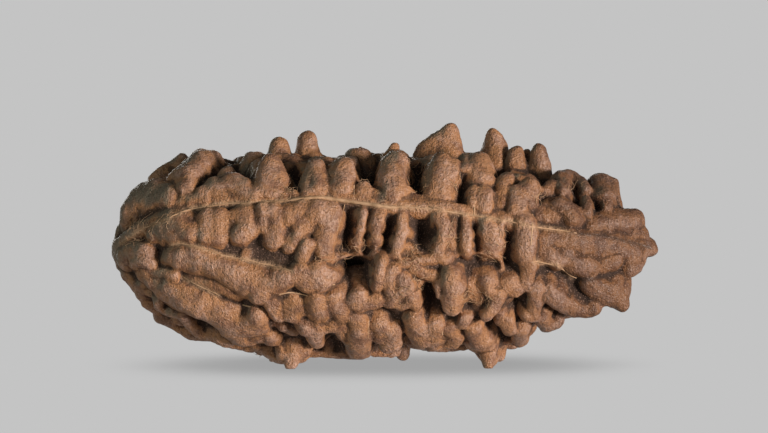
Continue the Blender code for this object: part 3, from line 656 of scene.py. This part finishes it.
# What the painted shade, the dirt and the wear follow: how hollow each point is,
# close by and in the large, how deep it lies, and the side that faces up and away
# from the key light, which gets a painted grey-green shade.
CLOSE_PASSES, WIDE_PASSES = 6, 60
CREASE_DEPTH, HOLLOW_DEPTH = 0.05, 0.9
DEEP_FROM, DEEP_OVER = 0.2, 1.3
SHADE_SIDE, SHADE_SIDE_SHARE = np.array((-0.85, 0.15, 0.55)), 0.75
SHADE_PATCHES = [(1.6, 0.5), (0.5, 0.3)]
BLUNT_SHADE_FROM, BLUNT_SHADE_OVER, BLUNT_SHADE_SHARE = -13.0, 7.0, 0.25
SEAM_WIDTH, GROOVE_WIDTH = 0.3, 0.25
GROOVE_FADE = 1.5
FAR_SEAMS_TO = 20.5
NO_SEAM_NEAR = 9.0
points = read_points(seed.data) / MILLIMETRE
normals = read_normals(seed.data)
pairs = np.empty(len(seed.data.edges) * 2, np.int32)
seed.data.edges.foreach_get("vertices", pairs)
pairs = pairs.reshape(-1, 2)
near = even_out(points, pairs, CLOSE_PASSES)
wide = even_out(near, pairs, WIDE_PASSES)
dip = np.sum((near - points) * normals, axis=1)
sag = np.sum((wide - points) * normals, axis=1)
in_layout = (points - np.array(SEAT) - centre) @ roll + centre
reach = np.linalg.norm(in_layout[:, 1:] - (0.0, AXIS_UP), axis=1)
frontward = -in_layout[:, 1] / np.maximum(reach, 0.01)
bed = np.array([core_radius(x) for x in in_layout[:, 0]]) + bed_rise(in_layout[:, 0], frontward)
# Painted grey-green shade: on faces turned up, left and back, away from the key light, in patches, and
# more towards the blunt end.
side_shade = normals @ SHADE_SIDE * SHADE_SIDE_SHARE
for (size, amount), noise in zip(SHADE_PATCHES, noises[1:]):
    side_shade += amount * noise.at(points, size)
at_blunt_end = np.clip((BLUNT_SHADE_FROM - points[:, 0]) / BLUNT_SHADE_OVER, 0.0, 1.0)
seam_gap = np.full(len(points), NO_SEAM_NEAR)
for seam in SEAMS:
    for (x, up), (next_x, next_up) in zip(seam, seam[1:]):
        step = np.array((next_x - x, next_up - up))
        off = in_layout[:, (0, 2)] - (x, up)
        share = np.clip(off @ step / (step @ step), 0.0, 1.0)
        seam_gap = np.minimum(seam_gap, np.linalg.norm(off - share[:, None] * step, axis=1))
seam_gap[in_layout[:, 1] > 0.0] = NO_SEAM_NEAR
around = np.arctan2(in_layout[:, 2] - AXIS_UP, -in_layout[:, 1])
for angle in FAR_SEAM_ANGLES:
    past = around - angle - seam_sway(in_layout[:, 0], angle)
    gap = np.abs((past + math.pi) % math.tau - math.pi) * reach
    gap[abs(in_layout[:, 0]) >= FAR_SEAMS_TO] = NO_SEAM_NEAR
    seam_gap = np.minimum(seam_gap, gap)
paleness = np.clip((GROOVE_FROM - in_layout[:, 0]) / GROOVE_FADE, 0.0, 1.0)
keep(seed.data, "seam", (1.0 - seam_gap / SEAM_WIDTH) * paleness)
keep(seed.data, "groove", (1.0 - seam_gap / GROOVE_WIDTH) * (1.0 - paleness))
keep(seed.data, "crease", 0.5 + dip / CREASE_DEPTH)
keep(seed.data, "hollow", 0.5 + sag / HOLLOW_DEPTH)
keep(seed.data, "deep", (bed - reach - DEEP_FROM) / DEEP_OVER)
keep(seed.data, "side_shade", side_shade + at_blunt_end * BLUNT_SHADE_SHARE)


def attribute(tree, name):
    """One of the surface's stored numbers."""
    node = tree.nodes.new("ShaderNodeAttribute")
    node.attribute_name = name
    return node.outputs["Fac"]


def ramp(tree, value, low, high, at_low=0.0, at_high=1.0):
    """A value taken smoothly from one range to another."""
    node = tree.nodes.new("ShaderNodeMapRange")
    node.interpolation_type = "SMOOTHSTEP"
    node.inputs["From Min"].default_value = low
    node.inputs["From Max"].default_value = high
    node.inputs["To Min"].default_value = at_low
    node.inputs["To Max"].default_value = at_high
    tree.links.new(value, node.inputs["Value"])
    return node.outputs["Result"]


def grain(tree, place, size, detail=3.0, stretch=(1.0, 1.0, 1.0)):
    """Noise with marks of a size in metres, drawn out along the chosen axes."""
    turn = tree.nodes.new("ShaderNodeMapping")
    turn.inputs["Scale"].default_value = [1.0 / (size * share) for share in stretch]
    noise = tree.nodes.new("ShaderNodeTexNoise")
    noise.inputs["Scale"].default_value = 1.0
    noise.inputs["Detail"].default_value = detail
    tree.links.new(place, turn.inputs["Vector"])
    tree.links.new(turn.outputs["Vector"], noise.inputs["Vector"])
    return noise.outputs["Fac"]


def blend(tree, factor, first, second, kind="MIX"):
    """Two colours mixed by a factor; either may be a fixed colour."""
    node = tree.nodes.new("ShaderNodeMix")
    node.data_type = "RGBA"
    node.blend_type = kind
    sockets = [node.inputs[6], node.inputs[7]]
    for socket, colour in zip(sockets, (first, second)):
        if isinstance(colour, tuple):
            socket.default_value = colour
        else:
            tree.links.new(colour, socket)
    tree.links.new(factor, node.inputs[0])
    return node.outputs[2]


def paint(tree, tone, layers):
    """Lay colours over a tone, each by a value that brings it in over a range."""
    for value, low, high, weight, colour in layers:
        tone = blend(tree, ramp(tree, value, low, high, 0.0, weight), tone, colour)
    return tone


def arithmetic(tree, kind, first, second):
    """A sum or a product of two values; either may be a fixed number."""
    node = tree.nodes.new("ShaderNodeMath")
    node.operation = kind
    for socket, value in zip(node.inputs, (first, second)):
        if isinstance(value, float):
            socket.default_value = value
        else:
            tree.links.new(value, socket)
    return node.outputs[0]


def new_look(name):
    """A material with its nodes, its shader and its place."""
    look = bpy.data.materials.new(name)
    look.use_nodes = True
    tree = look.node_tree
    place = tree.nodes.new("ShaderNodeTexCoord").outputs["Object"]
    return look, tree, tree.nodes["Principled BSDF"], place


# Hard dry wood: orange brown, rubbed pinkish on the knobs, partly wear and partly a
# painted highlight; a painted grey-green shade where it faces up and away from the key
# light; near black down in the hollows, partly dirt and partly painted shade; and a
# painted shade over the slim end.
ORANGE_BROWN = (0.41, 0.19, 0.082, 1.0)
RED_BROWN = (0.22, 0.1, 0.052, 1.0)
PINK_WEAR_AND_HIGHLIGHT = (0.53, 0.32, 0.235, 1.0)
SHADE_GREY_GREEN = (0.2, 0.17, 0.12, 1.0)
SLIM_END_SHADE = (0.52, 0.5, 0.5, 1.0)
PALE_THREAD = (0.6, 0.37, 0.22, 1.0)
SHADE_AND_DIRT_DARK = (0.05, 0.029, 0.021, 1.0)
# Sizes of the marks in the wood, in metres; the fibre runs round the seed.
MOTTLE_SIZE, PATCH_SIZE = 0.0011, 0.0019
FLECK_SIZE, SPECK_SIZE = 0.00028, 0.00013
FIBRE_SIZE, FIBRE_RUN = 0.00022, (1.0, 5.0, 5.0)
SLIM_END_FROM, SLIM_END_TO = 0.008, 0.017
GROOVE_WEIGHT, FIBRE_RELIEF, SPECK_RELIEF = 0.9, 0.3, 0.7
CREASE_DULLNESS = 0.5
RELIEF_DEPTH = 0.00014
wood, tree, shader, place = new_look("seed_wood")
crease = attribute(tree, "crease")
hollow = attribute(tree, "hollow")
deep = attribute(tree, "deep")
mottle = grain(tree, place, MOTTLE_SIZE)
fleck = grain(tree, place, FLECK_SIZE, 2.0)
fibre = grain(tree, place, FIBRE_SIZE, 2.0, FIBRE_RUN)
speck = grain(tree, place, SPECK_SIZE, 1.0)
tone = blend(tree, ramp(tree, mottle, 0.36, 0.56), RED_BROWN, ORANGE_BROWN)
# Pink on the knobs, away from the hollows and in patches: partly rubbed wear, partly a painted highlight.
wear_and_highlight = arithmetic(tree, "MULTIPLY", ramp(tree, hollow, 0.42, 0.15),
                 ramp(tree, fleck, 0.35, 0.65, 0.25, 0.9))
patch = ramp(tree, grain(tree, place, PATCH_SIZE), 0.42, 0.6, 0.25, 1.0)
tone = blend(tree, arithmetic(tree, "MULTIPLY", wear_and_highlight, patch), tone, PINK_WEAR_AND_HIGHLIGHT)
# Then a painted grey-green shade on the side away from the key light, and darkening in the hollows,
# creases and deep places, partly dirt and partly painted shade.
# Each layer: what it follows, the range that brings it in, its weight, its colour.
tone = paint(tree, tone, [
    (attribute(tree, "side_shade"), 0.3, 0.9, 0.85, SHADE_GREY_GREEN),
    (fibre, 0.6, 0.4, 0.25, RED_BROWN),
    (hollow, 0.5, 0.8, 0.9, SHADE_AND_DIRT_DARK),
    (crease, 0.65, 1.0, 0.6, SHADE_AND_DIRT_DARK),
    (deep, 0.0, 1.0, 0.8, SHADE_AND_DIRT_DARK),
])
# Painted shade: the slim end, which faces the key light, is darkened.
along = tree.nodes.new("ShaderNodeSeparateXYZ")
tree.links.new(place, along.inputs[0])
slim_end_shade = ramp(tree, along.outputs["X"], SLIM_END_FROM, SLIM_END_TO)
tone = blend(tree, slim_end_shade, tone, SLIM_END_SHADE, "MULTIPLY")
# Dark specks in the wood, and pale specks that are painted glints.
tone = paint(tree, tone, [
    (speck, 0.4, 0.28, 0.6, SHADE_AND_DIRT_DARK),
    (speck, 0.58, 0.72, 0.4, PINK_WEAR_AND_HIGHLIGHT),
])
seam_tone = arithmetic(tree, "MULTIPLY", attribute(tree, "seam"),
                       ramp(tree, fleck, 0.3, 0.6, 0.2, 0.9))
tone = blend(tree, seam_tone, tone, PALE_THREAD)
groove_tone = arithmetic(tree, "MULTIPLY", attribute(tree, "groove"), GROOVE_WEIGHT)
tone = blend(tree, groove_tone, tone, SHADE_AND_DIRT_DARK)
tree.links.new(tone, shader.inputs["Base Color"])
sheen = ramp(tree, fleck, 0.3, 0.7, 0.56, 0.36)
dull = arithmetic(tree, "MULTIPLY", ramp(tree, crease, 0.45, 0.8), CREASE_DULLNESS)
tree.links.new(arithmetic(tree, "ADD", sheen, dull), shader.inputs["Roughness"])
shader.inputs["Specular IOR Level"].default_value = 0.4
relief = arithmetic(tree, "ADD", fleck, arithmetic(tree, "MULTIPLY", fibre, FIBRE_RELIEF))
relief = arithmetic(tree, "ADD", relief, arithmetic(tree, "MULTIPLY", speck, SPECK_RELIEF))
bump = tree.nodes.new("ShaderNodeBump")
bump.inputs["Strength"].default_value = 1.0
bump.inputs["Distance"].default_value = RELIEF_DEPTH
tree.links.new(relief, bump.inputs["Height"])
tree.links.new(bump.outputs["Normal"], shader.inputs["Normal"])
seed.data.materials.clear()
seed.data.materials.append(wood)
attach(seed, "root")
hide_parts("rudraksha_seed")

# ----
# The seams of the stone, where its walls have grown together. The dry fibre of
# the fruit stays in them as pale threads.
THREAD_STEP = 0.3
THREAD_RADIUS = 0.06
THREAD_WANDER, FAR_THREAD_WANDER = 0.05, 0.008
THICKNESS, FAR_THICKNESS = (0.6, 1.2), (0.6, 1.3)
FAR_THREAD_STEPS = 70
# Midway along the main seam the fibre lies as a broad band.
BAND_RADIUS = 0.19
BAND_FROM, BAND_TO = -7.5, 1.0
CLEAR_OF_SEED, IN_FRONT = 8.0, -20.0
TIGHTENING_PASSES = 2
SIDE_SEAMS = [
    [(-2.4, 13.8), (-2.45, 14.9)], [(-3.2, 13.4), (-3.4, 12.6), (-3.8, 11.3)],
    [(12.0, 11.7), (12.05, 12.6)], [(12.0, 11.5), (11.9, 10.1)], [(16.0, 11.1), (16.1, 12.3)],
    [(4.7, 4.1), (4.75, 2.8)], [(-1.25, 4.0), (-1.3, 2.5)], [(7.3, 12.5), (7.35, 13.7)],
    [(-8.5, 6.1), (-7.5, 6.35), (-6.2, 6.0)], [(-4.8, 6.8), (-4.0, 7.0)],
    [(-11.5, 5.3), (-10.2, 4.9)], [(9.0, 6.5), (8.2, 5.6)],
]
surface = BVHTree.FromPolygons([tuple(vert.co) for vert in seed.data.vertices],
                               [tuple(face.vertices) for face in seed.data.polygons])
dice = random.Random(SIDE_SEED)


def touch(start, aim):
    """Where a straight line between two layout places first meets the seed."""
    start, aim = to_world(start), to_world(aim)
    spot, normal, _, _ = surface.ray_cast(start, (aim - start).normalized())
    return spot, normal


def front_touch(x, up):
    """Where the front face meets a look straight along the line of view."""
    return touch(Vector((x, IN_FRONT, up)), Vector((x, 0.0, up)))


def side_touch(x, angle):
    """Where a look from outside toward the long axis meets the skin."""
    return touch(side_spot(x, angle, CLEAR_OF_SEED), Vector((x, 0.0, AXIS_UP)))


def evenly_along(chain, step):
    """Places at even steps along a chain of (x, up) points."""
    for (x, up), (next_x, next_up) in zip(chain, chain[1:]):
        count = max(int(math.hypot(next_x - x, next_up - up) / step), 1)
        for index in range(count):
            share = index / count
            yield x + (next_x - x) * share, up + (next_up - up) * share
    yield chain[-1]


def add_strand(curve, points, radii):
    """One round thread through world points, kept above the floor."""
    strand = curve.splines.new("POLY")
    strand.points.add(len(points) - 1)
    for end, point, radius in zip(strand.points, points, radii):
        end.co = (point[0], point[1], max(point[2], radius * MILLIMETRE), 1.0)
        end.radius = radius * MILLIMETRE


def settle(spots):
    """Draw a thread tight, so that it spans the small dips under it."""
    for _ in range(TIGHTENING_PASSES):
        inner = [(before + 2.0 * here + after) / 4.0
                 for before, here, after in zip(spots, spots[1:], spots[2:])]
        spots = [spots[0]] + inner + [spots[-1]]
    return spots


def finish_strands(curve, material):
    """The threads as one mesh piece that rides on the seed."""
    curve.dimensions = "3D"
    curve.bevel_depth = 1.0
    curve.bevel_resolution = 1
    curve.use_fill_caps = True
    loose = bpy.data.objects.new(curve.name, curve)
    objects.link(loose)
    graph = bpy.context.evaluated_depsgraph_get()
    mesh = bpy.data.meshes.new_from_object(loose.evaluated_get(graph))
    bpy.data.objects.remove(loose)
    piece = bpy.data.objects.new(curve.name, mesh)
    objects.link(piece)
    mesh.materials.clear()
    mesh.materials.append(material)
    mesh.shade_smooth()
    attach(piece, "root")


threads = bpy.data.curves.new("seam_threads", "CURVE")
for chain in SEAMS + SIDE_SEAMS:
    spots, radii = [], []
    for x, up in evenly_along(chain, THREAD_STEP):
        spot, _ = front_touch(x, up + dice.uniform(-THREAD_WANDER, THREAD_WANDER))
        if spot is None or x > GROOVE_FROM:
            continue
        spots.append(spot)
        in_band = chain is MAIN_SEAM and BAND_FROM < x < BAND_TO
        radii.append((BAND_RADIUS if in_band else THREAD_RADIUS) * dice.uniform(*THICKNESS))
    if len(spots) > 1:
        add_strand(threads, settle(spots), radii)
for angle in FAR_SEAM_ANGLES:
    spots = []
    for step in range(-FAR_THREAD_STEPS, FAR_THREAD_STEPS):
        x = step * THREAD_STEP
        wander = dice.uniform(-FAR_THREAD_WANDER, FAR_THREAD_WANDER)
        spot, _ = side_touch(x, angle + (seam_sway(x, angle) + wander))
        spots.append(spot)
    radii = [THREAD_RADIUS * dice.uniform(*FAR_THICKNESS) for _ in spots]
    add_strand(threads, settle(spots), radii)

# Dry husk fibre: pale straw, duller brown in patches.
HUSK_PATCH_SIZE = 0.0012
DULL_THREAD = (0.36, 0.21, 0.11, 1.0)
husk, tree, shader, place = new_look("pale_husk_fibre")
patches = grain(tree, place, HUSK_PATCH_SIZE)
straw = blend(tree, ramp(tree, patches, 0.35, 0.6), DULL_THREAD, PALE_THREAD)
tree.links.new(straw, shader.inputs["Base Color"])
shader.inputs["Roughness"].default_value = 0.7
finish_strands(threads, husk)

# ----
# Dried fibres: short curled hairs of fruit flesh, caught in the hollows and
# along the seams.
# Each tuft: x, up, how far it spreads, how many hairs.
TUFTS = [
    (-20.8, 11.0, 0.5, 16), (-19.6, 11.6, 0.5, 14), (-18.2, 12.1, 0.4, 10), (-8.0, 14.2, 0.4, 12),
    (-7.3, 14.8, 0.5, 16), (-2.6, 10.0, 0.5, 12), (-1.2, 15.3, 0.3, 8), (2.6, 16.4, 0.4, 12),
    (2.9, 15.0, 0.5, 14), (2.0, 9.0, 0.6, 12), (3.6, 9.3, 0.6, 12), (5.5, 10.8, 0.3, 10),
    (9.6, 10.6, 0.3, 10), (8.6, 9.2, 0.4, 10), (2.8, 7.2, 0.5, 12), (7.1, 6.0, 0.5, 14),
    (8.7, 6.0, 0.4, 10), (6.0, 15.2, 0.3, 8), (15.6, 14.7, 0.4, 8), (-5.0, 8.9, 0.3, 8),
    (1.5, 6.2, 0.5, 10), (-3.4, 9.2, 0.3, 8), (12.4, 14.0, 0.3, 6), (4.6, 13.3, 0.3, 6),
]
TUFT_FLATNESS = 0.6
FAR_HAIRS = 140
FAR_HAIRS_TO, FAR_HAIR_SPREAD = 19.0, 0.06
HAIR_RADIUS = 0.022
HAIR_TAPER = 0.6  # the share of its radius a hair loses toward its tip
HAIR_STEP = 0.17
HAIR_STEPS = (4, 9)
HAIR_CURL, HAIR_TURN = 0.6, 0.25
HAIR_RISE = (-0.25, 0.4)
HAIR_ROOT = 0.05
HAIR_CLEARANCE, HAIR_REACH = 0.08, 0.25


def add_hair(curve, spot, normal):
    """A hair that starts on the skin and curls loosely over it."""
    side = normal.orthogonal().normalized()
    side.rotate(Matrix.Rotation(dice.uniform(0.0, math.tau), 3, normal))
    points = [spot - normal * HAIR_ROOT * MILLIMETRE]
    curl = dice.uniform(-HAIR_CURL, HAIR_CURL)
    for _ in range(dice.randint(*HAIR_STEPS)):
        turn = curl + dice.uniform(-HAIR_TURN, HAIR_TURN)
        side.rotate(Matrix.Rotation(turn, 3, normal))
        rise = dice.uniform(*HAIR_RISE)
        points.append(points[-1] + (side + normal * rise) * HAIR_STEP * MILLIMETRE)
        near_spot, near_normal, _, away = surface.find_nearest(points[-1])
        inside = (points[-1] - near_spot).dot(near_normal) < 0.0
        if inside or away > HAIR_REACH * MILLIMETRE:
            points[-1] = near_spot + near_normal * HAIR_CLEARANCE * MILLIMETRE
    radii = [HAIR_RADIUS * (1.0 - HAIR_TAPER * index / len(points)) for index in range(len(points))]
    add_strand(curve, points, radii)


hairs = bpy.data.curves.new("dried_fibres", "CURVE")
for x, up, spread, count in TUFTS:
    for _ in range(count):
        root_x = dice.gauss(x, spread)
        root_up = dice.gauss(up, spread * TUFT_FLATNESS)
        spot, normal = front_touch(root_x, root_up)
        if spot is not None:
            add_hair(hairs, spot, normal)
for _ in range(FAR_HAIRS):
    x = dice.uniform(-FAR_HAIRS_TO, FAR_HAIRS_TO)
    angle = dice.choice(FAR_SEAM_ANGLES) + dice.gauss(0.0, FAR_HAIR_SPREAD)
    spot, normal = side_touch(x, angle)
    add_hair(hairs, spot, normal)
finish_strands(hairs, husk)

# ----
# The studio: a pale floor that fades evenly into the pale surroundings. Both give
# off more light to the camera than to the seed, so that its hollows stay dark.
BACKDROP = (0.552, 0.552, 0.552, 1.0)
SURROUND = (0.082, 0.092, 0.09, 1.0)
FLOOR_BOUNCE = (0.24, 0.23, 0.22, 1.0)
FLOOR_RADIUS = 4.0
# The shadow under the seed: how far it reaches, and the floor's strength in it.
SHADOW_REACH = 0.015
SHADOW_STRENGTH = 0.655
LIGHTS_AIM = Vector((0.0, 0.0, 0.01))


def seen_or_lit(tree, seen, lit):
    """One shader for the camera's own view and another for all other light."""
    path = tree.nodes.new("ShaderNodeLightPath")
    split = tree.nodes.new("ShaderNodeMixShader")
    tree.links.new(path.outputs["Is Camera Ray"], split.inputs["Fac"])
    tree.links.new(lit, split.inputs[1])
    tree.links.new(seen, split.inputs[2])
    return split.outputs["Shader"]


world = bpy.data.worlds.new("studio")
world.use_nodes = True
tree = world.node_tree
sky = tree.nodes["Background"]
sky.inputs["Color"].default_value = BACKDROP
dim = tree.nodes.new("ShaderNodeBackground")
dim.inputs["Color"].default_value = SURROUND
surroundings = seen_or_lit(tree, sky.outputs["Background"], dim.outputs["Background"])
tree.links.new(surroundings, tree.nodes["World Output"].inputs["Surface"])
scene.world = world

floor_mesh = bpy.data.meshes.new("floor")
floor_form = bmesh.new()
bmesh.ops.create_circle(floor_form, cap_ends=True, segments=96, radius=FLOOR_RADIUS)
floor_form.to_mesh(floor_mesh)
floor_form.free()
floor = bpy.data.objects.new("floor", floor_mesh)
objects.link(floor)
paper = bpy.data.materials.new("pale_paper")
paper.use_nodes = True
tree = paper.node_tree
tree.nodes.clear()
output = tree.nodes.new("ShaderNodeOutputMaterial")
glow = tree.nodes.new("ShaderNodeEmission")
glow.inputs["Color"].default_value = BACKDROP
shade = tree.nodes.new("ShaderNodeAmbientOcclusion")
shade.samples = 16
shade.inputs["Distance"].default_value = SHADOW_REACH
shadow = ramp(tree, shade.outputs["AO"], 0.15, 0.8, SHADOW_STRENGTH, 1.0)
tree.links.new(shadow, glow.inputs["Strength"])
bounce = tree.nodes.new("ShaderNodeEmission")
bounce.inputs["Color"].default_value = FLOOR_BOUNCE
surface_look = seen_or_lit(tree, glow.outputs["Emission"], bounce.outputs["Emission"])
tree.links.new(surface_look, output.inputs["Surface"])
floor.visible_shadow = False
floor.data.materials.append(paper)

scene.view_settings.view_transform = "Standard"


def add_light(name, place, size, power, colour):
    """A square soft light that faces the seed."""
    lamp = bpy.data.lights.new(name, "AREA")
    lamp.size = size
    lamp.energy = power
    lamp.color = colour
    holder = bpy.data.objects.new(name, lamp)
    holder.location = place
    holder.rotation_euler = (LIGHTS_AIM - Vector(place)).to_track_quat("-Z", "Y").to_euler()
    holder.visible_camera = False
    objects.link(holder)


# A small warm key low on the right, a weak cool fill on the left, and a dim light
# behind for the far side.
add_light("key", (0.42, -0.35, 0.03), 0.12, 3.75, (1.0, 0.92, 0.84))
add_light("fill", (-0.36, -0.36, 0.12), 0.3, 0.42, (0.86, 1.0, 0.92))
add_light("rear", (-0.1, 0.45, 0.0), 0.3, 0.9, (1.0, 0.96, 0.9))

# ----
# The camera looks level with the seed's front face, from far off.
LENS = 200.0
SENSOR = 36.0
VIEW_WIDTH = 63.53
VIEW_UP = 12.45
camera = bpy.data.cameras.new("camera")
camera.lens = LENS
camera.sensor_width = SENSOR
camera.clip_start = 0.01
camera.clip_end = 20.0
viewer = bpy.data.objects.new("camera", camera)
objects.link(viewer)
sight = Matrix.Rotation(-FRONT_ROLL, 3, "X") @ Vector((0.0, -1.0, 0.0))
target = to_world(Vector((0.0, 0.0, VIEW_UP)))
viewer.location = target + sight * (VIEW_WIDTH * MILLIMETRE * LENS / SENSOR)
viewer.rotation_euler = (-sight).to_track_quat("-Z", "Y").to_euler()
scene.camera = viewer
